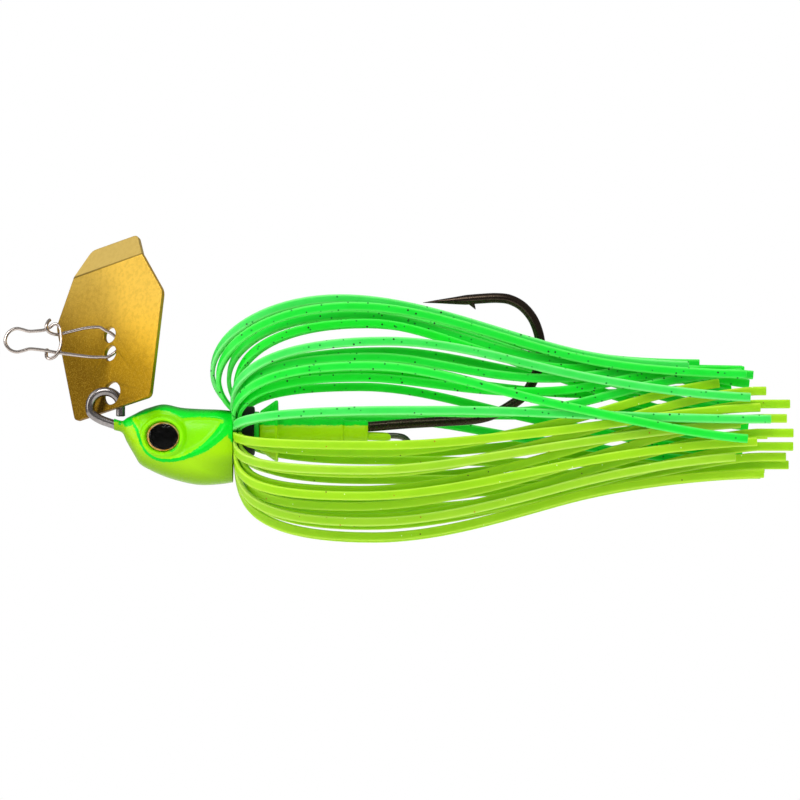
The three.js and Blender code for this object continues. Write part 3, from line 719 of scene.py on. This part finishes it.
def build_paint_flash():
    """Thin tongue of paint over the keeper wire where it leaves the tail barrel."""
    start, length, steps = TAIL_BARREL["x1"] - 0.2, 3.6, 18
    rings = []
    for k in range(steps + 1):
        share = k / steps
        middle = Vector((start + length * share, 0, -14.25 - 0.12 * share))
        height = 0.62 * (1 - share) ** 0.5 + 0.42 * share
        width = 0.62 * (1 - share) ** 0.6 + 0.47 * share
        rings.append([middle + Vector((0, width * math.cos(a), height * math.sin(a))) for a in circle(28)])
    flash = new_object("keeper_paint_flash", *ring_skin(rings), PAINT_KEEPER, slot="painted_lead")
    keeper_mask(flash, -12)


build_keeper()
build_paint_flash()


# ---- eyes ----
def build_eye(label, side, print_material, clear_material):
    """Printed disc and the clear dome over it."""
    centre, out, along = eye_axes(side)

    def place(a, u, v):
        return centre + out * a + along * (u * EYE_SPREAD) + Vector((0, 0, v * EYE_SQUASH - EYE_DROP))

    r, t, h = EYE["foil_r"], EYE["foil_t"], EYE["dome_h"]
    disc = [(0.0, 0), (0.0, r)] + [(t, r * (1 - k / 16)) for k in range(16)] + [(t, 0)]
    foil = revolved("eye_disc_" + label, disc, 72, print_material, place=place, slot="eye_foil",
                    replaces=("eye_foil_" + label,))
    # the pupil sits a little off the middle
    shift = Vector((math.copysign(0.07, along.x), 0))
    shares = [(in_eye_plane(v.co / MM, side)[0] - shift).length / r for v in foil.data.vertices]
    set_attribute(foil.data, "eye", shares)
    foot, wall = t + 0.01, t + 0.2
    arcs = [math.pi / 2 * k / 14 for k in range(1, 14)]
    dome = [(foot, 0), (foot, r), (wall, r)]
    dome += [(wall + (t + h - wall) * math.sin(a), r * math.cos(a)) for a in arcs]
    dome.append((t + h, 0))
    revolved("eye_lens_" + label, dome, 72, clear_material, place=place, slot="eye_dome",
             replaces=("eye_dome_" + label,))


EYE_PRINT, CLEAR = eye_print(), clear_dome()
for label, side in (("left", -1), ("right", 1)):
    build_eye(label, side, EYE_PRINT, CLEAR)


# ---- hook and wires ----
HOOK_EYE = {"x": 26.5, "z": -13.4, "r": 1.8}
POINT_X = 62.4
POINT_LENGTH = 6.5


def ring_point(ring, degrees):
    """Place on a ring in the mid-plane, by degrees up from its rear."""
    return Vector((ring["x"] + ring["r"] * math.cos(degrees * RAD), 0,
                   ring["z"] + ring["r"] * math.sin(degrees * RAD)))


HOOK_PATH = [ring_point(HOOK_EYE, a) for a in (50, 90, 130, 170, 210, 250, 290, 322)]
HOOK_PATH += [Vector((x, 0, z)) for x, z in (
    (29.2, -13.75), (31.5, -13.35), (42, -13.2), (50, -13.0), (54.2, -12.85), (60, -12.4), (65, -12.1),
    (71, -11.6), (73.5, -10.8), (75.5, -9.7), (77.6, -8.1), (79.2, -5.4), (80.0, -2.85), (80.05, -0.6),
    (79.7, 1.35), (78.8, 3.5), (77.2, 5.3), (75.3, 6.25), (73.5, 6.45), (71.1, 6.35), (68.7, 6.15),
    (66.3, 6.0), (64.4, 5.9), (POINT_X, 5.75))]
KEEPER_PATH = [(46, 0, -14.75), (50, 0, -14.5), (54.2, 0, -14.25), (56.5, 0, -14.2), (58.6, 0, -14.25),
               (59.6, 0, -14.5), (60.2, 0, -15.1), (60.4, 0, -15.95)]


def hook_radius(p, share):
    """Full thickness, but tapering to the point over the last part of the hook."""
    if share < 0.7:
        return HOOK_R
    return HOOK_R * min(1, 0.03 + 0.97 * max(p.x - POINT_X, 0) / POINT_LENGTH)


def build_hook():
    wire("hook_bend_and_point", HOOK_PATH, hook_radius, 340, 32, HOOK_METAL, replaces=("jig_hook",),
         slot="hook_wire")
    rings = []
    for k in range(9):
        u = k / 8
        middle = Vector((69.35 + 0.95 * u ** 0.8, 0, 5.85 - 1.12 * u))
        length, width = 0.62 * (1 - u) + 0.04, 0.34 * (1 - u) + 0.05
        rings.append([middle + Vector((length * math.cos(a), width * math.sin(a), 0)) for a in circle(16)])
    new_object("hook_barb", *ring_skin(rings), HOOK_METAL, slot="hook_wire")


def build_wires():
    cast_in = [(22.8, 0, -15.9), (21.9, 0, -14.9), (19.6, 0, -13.7), (17.4, 0, -12.95)]
    rise = [(15.9, 0, -12.45), (13.9, 0, -11.7)]
    ring = [ring_point(EYE_LOOP, a) for a in (204, 186, 168, 150, 132, 114, 96, 78, EYE_CROSSING, 40, 20, 0)]
    rear_x = EYE_LOOP["x"] + EYE_LOOP["r"]
    free_end = [(rear_x, 0, -10.5), (rear_x, 0, -11.35)]
    wire("hanger_eye_wire", cast_in + rise + ring + free_end, EYE_WIRE_R, 240, 32, STAINLESS,
         replaces=("blade_hanger_wire",), slot="stainless_wire")
    wire("trailer_keeper", KEEPER_PATH, KEEPER_WIRE_R, 120, 24, KEEPER_METAL,
         replaces=("trailer_keeper_wire",), slot="keeper_wire")


build_hook()
build_wires()

# ---- blade ----
swing_axis = Vector((-math.sin(BLADE_AXIS_TILT * RAD), 0, math.cos(BLADE_AXIS_TILT * RAD)))
swing = Quaternion(swing_axis, BLADE_REST * RAD)
blade_across = swing @ Vector((0, -1, 0))
blade_up = swing @ Vector((math.sin(BLADE_LEAN * RAD), 0, math.cos(BLADE_LEAN * RAD)))
blade_front = blade_across.cross(blade_up)
blade_origin = ring_point(EYE_LOOP, EYE_CROSSING) - blade_up * HANG_HOLE["h"]

BEVEL = 0.1
FOLD_R = 0.55
BEND = LIP["bend"] * RAD
BEND_REACH = FOLD_R * BEND
BEND_START = BLADE["fold_h"] - BEND_REACH / 2


def on_blade(x, y, z):
    """Place of a point across, up and in front of the blade, from the middle of its lower edge."""
    return blade_origin + blade_across * x + blade_up * y + blade_front * z


def outline(corners, arc=8):
    """Closed outline with rounded corners, each (x, y, how far the arc reaches)."""
    points = []
    for i, (x, y, reach) in enumerate(corners):
        here = Vector((x, y))
        before, after = Vector(corners[i - 1][:2]), Vector(corners[(i + 1) % len(corners)][:2])
        start, end = here + (before - here).normalized() * reach, here + (after - here).normalized() * reach
        points += [corner(start, here, end, k / arc) for k in range(arc + 1)]
    return points


def blade_outlines():
    """Edge of the flat sheet and its three holes, which run the other way round."""
    fold, top = BLADE["fold_h"], BLADE["fold_h"] + LIP["length"]
    right = [(BLADE["bottom_w"] / 2, 0, 0.8), (BLADE["shoulder_w"] / 2, BLADE["shoulder_h"], 0.8),
             (BLADE["fold_w"] / 2, fold, 0.25), (LIP["top_w"] / 2, top, 0.9)]
    left = [(-x, y, reach) for x, y, reach in reversed(right)]
    loops = [outline(left[-1:] + right + left[:-1])]
    for h, r in ((HANG_HOLE["h"], HANG_HOLE["r"]), (SNAP_HOLE["low"], SNAP_HOLE["r"]),
                 (SNAP_HOLE["high"], SNAP_HOLE["r"])):
        loops.append([Vector((r * math.cos(-a), h + r * math.sin(-a))) for a in circle(48)])
    return loops


def flat_sheet():
    """Mesh of the flat sheet with rolled edges, filled in from its outlines."""
    curve = bpy.data.curves.new("blade_outline", "CURVE")
    curve.dimensions = "2D"
    curve.fill_mode = "BOTH"
    curve.extrude = BLADE_T / 2 - BEVEL
    curve.bevel_depth = BEVEL
    curve.bevel_resolution = 3
    curve.offset = -BEVEL
    for loop in blade_outlines():
        spline = curve.splines.new("POLY")
        spline.points.add(len(loop) - 1)
        for point, p in zip(spline.points, loop):
            point.co = (p.x, p.y, 0, 1)
        spline.use_cyclic_u = True
    holder = add_object("blade_outline", curve)
    mesh = bpy.data.meshes.new_from_object(holder.evaluated_get(bpy.context.evaluated_depsgraph_get()))
    bpy.data.objects.remove(holder)
    return mesh


def folded(y, z):
    """Where a point up and in front of the flat sheet goes when the lip is folded back."""
    past = y - BEND_START
    if past <= 0:
        return y, z
    a = min(past, BEND_REACH) / FOLD_R
    beyond = max(past - BEND_REACH, 0)
    return (BEND_START + (FOLD_R + z) * math.sin(a) + beyond * math.cos(a),
            z - (FOLD_R + z) * (1 - math.cos(a)) - beyond * math.sin(a))


def build_blade():
    """One stamped sheet: filled flat, cut into strips at the fold, given its painted light and shade by
    place, then folded.
    """
    mesh = flat_sheet()
    bm = bmesh.new()
    bm.from_mesh(mesh)
    bmesh.ops.remove_doubles(bm, verts=bm.verts, dist=0.0005)
    for k in range(9):
        cut = (0, BEND_START + BEND_REACH * k / 8, 0)
        geometry = bm.verts[:] + bm.edges[:] + bm.faces[:]
        bmesh.ops.bisect_plane(bm, geom=geometry, dist=1e-5, plane_co=cut, plane_no=(0, 1, 0))
    fold = BLADE["fold_h"]
    layers = bm.verts.layers.float
    painted_light, lip, painted_sheen, crease_shade = (layers.new(key) for key in ("painted_light", "lip", "painted_sheen", "crease_shade"))
    for v in bm.verts:
        x, y, z = v.co
        # painted light rising to the right and upwards, an even lit tone and a painted highlight on the lip,
        # painted sheen towards the top and painted shade along the crease
        v[painted_light] = 0.08 + 0.053 * x + 0.0355 * y if y < fold else 0.72
        v[lip] = 1.0 if y > fold else 0.0
        v[painted_sheen] = clamp(y / fold + 0.018 * x)
        v[crease_shade] = 1.0 if abs(y - fold) < BEND_REACH * 0.45 else 0.0
        v.co = on_blade(x, *folded(y, z)) * MM
    shade_smooth(bm, SHARP)
    bm.to_mesh(mesh)
    bm.free()
    mesh.name = "blade_plate"
    mesh.materials.clear()
    mesh.materials.append(gold_plate())
    obj = add_object("blade_plate", mesh)
    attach(obj, "blade")
    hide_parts("blade")
    obj.modifiers.new("weighted", "WEIGHTED_NORMAL").keep_sharp = True


build_blade()

# ---- snap ----
low_hole, high_hole = on_blade(0, SNAP_HOLE["low"], 0), on_blade(0, SNAP_HOLE["high"], 0)
hole_mid = (low_hole + high_hole) / 2
snap_along = (hole_mid - blade_up * hole_mid.dot(blade_up)).normalized()
snap_out = snap_along.cross(blade_up)
back, up = hole_mid.dot(snap_along), hole_mid.dot(blade_up)
half = (SNAP_HOLE["high"] - SNAP_HOLE["low"]) / 2
# along the snap from the line's bearing point, up and out. back and up are the middle of the two holes,
# and half is half the way between them
SNAP_PATH = (
    (6.15, -0.95, -0.5), (5.98, -1.6, -0.62), (6.0, -2.3, -0.5), (6.4, -2.72, -0.1), (7.1, -2.55, 0.35),
    (7.75, -1.7, 0.66), (8.1, -0.5, 0.66), (8.11, 0.82, 0.6), (7.98, 2.1, 0.4), (7.6, 2.66, 0.2),
    (7.1, 2.7, 0.05), (6.58, 2.3, 0), (5.75, 1.85, 0), (4.42, 1.64, 0), (3.31, 1.6, 0), (2.4, 1.85, 0),
    (1.57, 2.0, 0), (0.7, 1.68, 0), (0.0, 0.92, 0), (-SNAP_WIRE_R, -0.05, 0), (0.0, -0.86, 0),
    (0.6, -1.48, 0), (1.43, -1.73, 0), (2.32, -1.55, 0), (3.34, -1.24, 0), (4.6, -1.3, 0), (5.83, -1.46, 0),
    (7.45, -1.77, 0), (8.36, -1.86, 0), (11.5, -2.27, 0), (13.2, -2.43, 0), (14.3, -2.4, 0),
    (back - 0.75, up - half - 0.58, 0), (back, up - half - 0.22, 0), (back + 0.62, up - half + 0.25, 0),
    (back + 1.12, up - 0.62, 0), (back + 1.3, up, 0), (back + 1.12, up + 0.62, 0),
    (back + 0.62, up + half - 0.2, 0), (back, up + half + 0.35, 0), (back - 0.75, up + half + 0.75, 0),
    (14.2, 2.33, 0), (13.3, 2.36, 0), (11.65, 2.14, -0.04), (9.76, 1.67, -0.1),
    (8.47, 1.34, -0.14), (7.7, 1.12, 0.0), (6.94, 1.1, 0.3), (6.24, 1.36, 0.62), (5.93, 2.05, 0.74),
    (6.2, 2.9, 0.6), (6.6, 3.35, 0.45),
)
wire("snap_wire", [snap_along * p + blade_up * q + snap_out * s for p, q, s in SNAP_PATH],
     SNAP_WIRE_R, 620, 20, SNAP_METAL, body="snap", replaces=("line_snap",), slot="snap_wire")

# ---- skirt ----
BLACK_FLAKE, GREEN_FLAKE = (8, 30, 12), (0, 140, 40)
RED_FLAKE, GLINT = (176, 84, 20), (235, 250, 190)
# base, deep and painted highlight tone of each kind of strand, from the palest kind to the strongest
# the kinds are painted light on one colour: the palest for the near outer strands, the strongest, lifted
# against their shade, for the inner and far ones
GREEN_TONES = (((64, 216, 88), (28, 208, 62), (136, 234, 138)),
               ((16, 216, 52), (0, 206, 32), (96, 230, 98)),
               ((0, 222, 36), (0, 206, 20), (70, 228, 80)))
LIME_TONES = (((156, 206, 34), (138, 198, 10), (190, 224, 92)),
              ((156, 210, 12), (140, 200, 0), (184, 224, 58)),
              ((150, 208, 0), (134, 198, 0), (176, 222, 40)))
GREEN_SILICONE, LIME_SILICONE = [], []
for k, (green, lime) in enumerate(zip(GREEN_TONES, LIME_TONES)):
    dark = (1000, 0.15, BLACK_FLAKE, 0.2 + 0.16 * k)
    flakes = (dark, (1150, 0.17, GREEN_FLAKE, 0.5))
    GREEN_SILICONE.append(silicone(f"silicone_green_{k}", *green, flakes, 0.013 * k))
    dark = (1000, 0.1, BLACK_FLAKE, 0.05 + 0.04 * k)
    flakes = ((1000, 0.11, RED_FLAKE, 0.12), dark, (1300, 0.1, GLINT, 0.1))
    LIME_SILICONE.append(silicone(f"silicone_chartreuse_{k}", *lime, flakes, 0.017 * k))
SLEEVE = silicone("silicone_sleeve", (30, 196, 40), (0, 180, 30), (60, 214, 70),
                  ((900, 0.16, BLACK_FLAKE, 0.1),), 0.4)

# shares of the arch where the CAD has its stations, so that width and twist follow them, then its number of
# stations along the shell, and the fine steps from one station to the next
ARCH_MARKS = (0, 0.06, 0.14, 0.25, 0.39, 0.56, 0.77, 1.0)
SHELL_MARKS = 9
ARCH_STEPS, SHELL_STEPS = 6, 4


def around(angle, half, centre, x):
    """Place at an angle from the top of the shell's section at x, which is (half height, half width)."""
    return Vector((x, -half[1] * math.sin(angle * RAD), AXIS_Z + centre + half[0] * math.cos(angle * RAD)))


def strand_line(shell, loop, row, root_angle):
    """Fine centreline of a strand, the same curve as its CAD solid's, as (mark along the strand, point)."""
    bulge_x, forward, rise = loop
    bulge_deg, waist_deg, tail_deg, end_x = row[:4]
    way_out = row[4] if len(row) > 4 else 0
    sign = 1 if root_angle > 0 else -1

    # one arch from the root over the bulge
    root = around(root_angle, (ROOT_R, ROOT_R), 0, shell["root_x"])
    root_up = Vector((0, -math.sin(root_angle * RAD), math.cos(root_angle * RAD)))
    crown = around(sign * bulge_deg, shell["bulge"], SHELL_CENTRE[0], bulge_x)
    c1 = root + root_up * rise + Vector((-forward, 0, 0))
    c2 = crown - Vector(((bulge_x - shell["root_x"]) * 0.95, 0, 0))
    line = []
    for i, (low, high) in enumerate(zip(ARCH_MARKS, ARCH_MARKS[1:])):
        for k in range(ARCH_STEPS):
            t = low + (high - low) * k / ARCH_STEPS
            u = 1 - t
            p = root * u ** 3 + c1 * (3 * u * u * t) + c2 * (3 * u * t * t) + crown * t ** 3
            line.append((i + k / ARCH_STEPS, p))

    # then along the shell: half height, half width, centre and angle at each station, and their slopes there
    waist, tail = ([half + way_out for half in shell[key]] for key in ("waist", "tail"))
    winding = (tail_deg - bulge_deg) / (TAIL_X - bulge_x)
    stations = ((bulge_x, (*shell["bulge"], SHELL_CENTRE[0], bulge_deg), (0, 0, 0, 0)),
                (WAIST_X, (*waist, SHELL_CENTRE[1], waist_deg), (-0.27, -0.09, 0, winding)),
                (TAIL_X, (*tail, SHELL_CENTRE[2], tail_deg), (-0.02, -0.02, 0, winding * 0.6)))
    count = SHELL_MARKS * SHELL_STEPS
    for k in range(count + 1):
        x = bulge_x + (end_x - bulge_x) * k / count
        (x0, here, slope), (x1, there, end_slope) = stations[:2] if x < WAIST_X else stations[1:]
        span = x1 - x0
        u = min((x - x0) / span, 1)
        half_h, half_w, centre, angle = (hermite(p, q, mp * span, mq * span, u)
                                         for p, q, mp, mq in zip(here, there, slope, end_slope))
        mark = len(ARCH_MARKS) - 1 + k / SHELL_STEPS
        line.append((mark, around(sign * angle, (half_h, half_w), centre, x)))
    return line


# half of a strand's section with soft edges, as shares of its half width and half thickness
HALF_SECTION = ((-1, -0.55), (-0.94, -0.86), (-0.76, -1), (-0.38, -1), (0, -1), (0.38, -1), (0.76, -1),
                (0.94, -0.86), (1, -0.55), (1, 0))
SECTION = HALF_SECTION + tuple((-a, -b) for a, b in HALF_SECTION)
ACROSS = [abs(a) for a, b in SECTION]


def build_strand(name, shell, loop, row, root_angle, material, slot):
    """Soft ribbon that lies flat round the collar at its root and turns upright behind it."""
    line = strand_line(shell, loop, row, root_angle)
    round_collar = Vector((0, -math.cos(root_angle * RAD), -math.sin(root_angle * RAD)))
    upright = Vector((0, 0, -1 if root_angle > 0 else 1))
    rings = []
    last = len(line) - 1
    for i, (mark, p) in enumerate(line):
        tangent = (line[min(i + 1, last)][1] - line[max(i - 1, 0)][1]).normalized()
        across = round_collar.lerp(upright, smoothstep(mark, 1, 7))
        across = (across - tangent * across.dot(tangent)).normalized()
        out = tangent.cross(across)
        w = min(STRAND["width"], STRAND["root_w"] + 0.16 * mark) / 2
        t = min(STRAND["thickness"], STRAND["root_t"] + 0.05 * max(mark - 3, 0)) / 2
        rings.append([p + across * (w * a) + out * (t * b) for a, b in SECTION])
    # a slightly smaller ring rounds off the cut end
    end = p + tangent * 0.1
    rings.append([end + across * (w * 0.88 * a) + out * (t * 0.8 * b) for a, b in SECTION])
    # how far to the side each vertex lies, for the painted highlight on the edges and the cut end
    edge = ACROSS * len(line) + [1.0] * len(SECTION)
    new_object(name + "_soft", *ring_skin(rings), material, replaces=(name,), slot=slot, sharp=60,
               per_vertex={"edge": edge})


def build_skirt():
    number = 0
    for shell, sign, rows in ((SHELLS["outer"], 1, OUTER_NEAR), (SHELLS["outer"], -1, OUTER_FAR),
                              (SHELLS["inner"], 1, INNER_NEAR), (SHELLS["inner"], -1, INNER_FAR)):
        for i, (loop, row) in enumerate(zip(shell["loops"], rows)):
            number += 1
            root_angle = sign * (ROOT_FIRST + ROOT_STEP * i)
            green = abs(root_angle) < 90
            # painted light by place: the near outer strands take the two palest kinds, the inner and far
            # strands the two strongest
            tone = i % 2 if rows is OUTER_NEAR else 1 + i % 2
            build_strand(f"skirt_strand_{number:02d}", shell, loop, row, root_angle,
                         (GREEN_SILICONE if green else LIME_SILICONE)[tone],
                         "skirt_green" if green else "skirt_chartreuse")


def build_collar_ring(name, size, corner_r, material, slot, node):
    """Sleeve or band round the collar."""
    profile = [(size["x0"], size["r_in"]), (size["x0"], size["r_out"]), (size["x1"], size["r_out"]),
               (size["x1"], size["r_in"])]
    revolved(name, rounded(profile, corner_r), 96, material, slot=slot, replaces=(node,), sharp=50)


build_skirt()
build_collar_ring("skirt_root_sleeve", ROOT_SLEEVE, 0.18, SLEEVE, "skirt_green", "skirt_root")
build_collar_ring("skirt_band_ring", BAND, 0.35, band_rubber(), "band_rubber", "skirt_band")

# ---- stage, light and camera ----
# the places in this part are in metres
FLOOR = {"x": 0.05, "z": -0.14, "r": 0.6}


def build_floor():
    mesh = bpy.data.meshes.new("floor")
    rim = [(FLOOR["x"] + FLOOR["r"] * math.cos(a), FLOOR["r"] * math.sin(a), FLOOR["z"]) for a in circle(96)]
    mesh.from_pydata(rim, [], [tuple(range(len(rim)))])
    n = Nodes("floor_card")
    white = n.mix(n.stretch(n.noise(40, 3), 0.0, 0.3), (250, 250, 250), (244, 244, 244))
    mesh.materials.append(n.finish(Base_Color=white, Roughness=0.9))
    return add_object("floor", mesh)


floor = build_floor()

world = bpy.data.worlds.new("studio")
bpy.context.scene.world = world
world.use_nodes = True
tree = world.node_tree


def world_node(kind, **inputs):
    """Node of the world's tree. An input is given by its name, with _ for a space, or by i and its number."""
    node = tree.nodes.new(kind)
    for key, value in inputs.items():
        socket = node.inputs[int(key[1:]) if key[1:].isdigit() else key.replace("_", " ")]
        if isinstance(value, bpy.types.NodeSocket):
            tree.links.new(value, socket)
        else:
            socket.default_value = value
    return node


def world_math(operation, a, b):
    node = world_node("ShaderNodeMath", i0=a, i1=b)
    node.operation = operation
    return node.outputs[0]


# the sky above is bright, the sides and the far side are dim, and the camera sees plain white
direction = world_node("ShaderNodeSeparateXYZ", Vector=world_node("ShaderNodeTexCoord").outputs["Generated"])
lift = world_node("ShaderNodeMapRange", Value=direction.outputs["Z"],
                  From_Min=-0.2, From_Max=0.9, To_Min=0.34, To_Max=0.75)
path = world_node("ShaderNodeLightPath")
share = world_math("ADD", world_math("MULTIPLY", path.outputs["Is Glossy Ray"], -0.5), 1.0)
strength = world_math("MULTIPLY", lift.outputs[0], share)
dim = world_node("ShaderNodeBackground", Color=(1, 1, 1, 1), Strength=strength)
white = world_node("ShaderNodeBackground", Color=(1, 1, 1, 1), Strength=1.0)
chooser = world_node("ShaderNodeMixShader", i0=path.outputs["Is Camera Ray"], i1=dim.outputs[0],
                     i2=white.outputs[0])
tree.links.new(chooser.outputs[0], tree.nodes["World Output"].inputs["Surface"])


def area(name, place, aim, size, power, glossy=True):
    """Soft lamp of size (width, height) that looks at aim."""
    light = bpy.data.lights.new(name, "AREA")
    light.shape = "RECTANGLE"
    light.size, light.size_y = size
    light.energy = power
    obj = add_object(name, light)
    obj.location = place
    obj.rotation_mode = "QUATERNION"
    obj.rotation_quaternion = (Vector(place) - Vector(aim)).to_track_quat("Z", "Y")
    obj.visible_glossy = glossy


AIM = (0.055, 0, -0.01)
area("key_light", (-0.1, -0.5, 0.55), AIM, (0.35, 0.3), 2.6)
area("left_light", (-0.72, -0.24, 0.3), (0.01, 0, 0.0), (0.3, 0.9), 2.7)
area("lip_light", (-0.5, 0.3, 0.48), (0.01, 0, 0.0), (0.3, 0.3), 0.22)
area("fill_light", (0.45, -0.6, 0.1), AIM, (0.3, 0.5), 1.2, glossy=False)
area("back_light", (0.1, 0.6, 0.35), AIM, (0.6, 0.4), 1.6, glossy=False)

camera_data = bpy.data.cameras.new("camera")
camera_data.lens = 250
camera_data.sensor_width = 36
camera_data.clip_start, camera_data.clip_end = 0.01, 20
camera = add_object("camera", camera_data)
camera.location = (0.05898, -0.8333, -0.00885)
camera.rotation_euler = (math.pi / 2, 0, 0)
bpy.context.scene.camera = camera
bpy.context.scene.view_settings.view_transform = "Standard"
bpy.context.scene.view_settings.look = "None"
